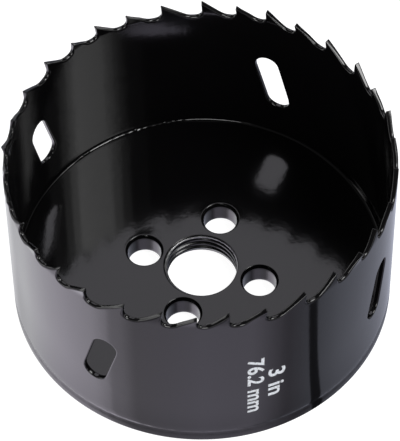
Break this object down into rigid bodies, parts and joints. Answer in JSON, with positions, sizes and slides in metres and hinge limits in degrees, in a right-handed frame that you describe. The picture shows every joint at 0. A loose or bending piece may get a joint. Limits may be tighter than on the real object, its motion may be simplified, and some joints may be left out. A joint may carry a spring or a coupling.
{
  "type": "hole saw",
  "caption": "Cup-shaped bi-metal hole saw: toothed steel band with slanted slots on a round base plate with a threaded centre and drive pin holes.",
  "frame": {"origin": "centre of the base plate's underside, on the axis of rotation", "axes": "+Z along the axis of rotation, from the base to the tooth tips"},
  "size_m": [0.0759, 0.0762, 0.0419],
  "materials": {
    "band_paint": "glossy black paint over spring steel",
    "tip_paint": "glossy black paint over high-speed steel",
    "plate_paint": "glossy black paint over turned mild steel"
  },
  "bodies": {
    "root": {"band": "band_paint", "tooth_tips": "tip_paint", "seam_weld": "band_paint", "base_plate": "plate_paint", "base_weld": "plate_paint"}
  },
  "joints": []
}
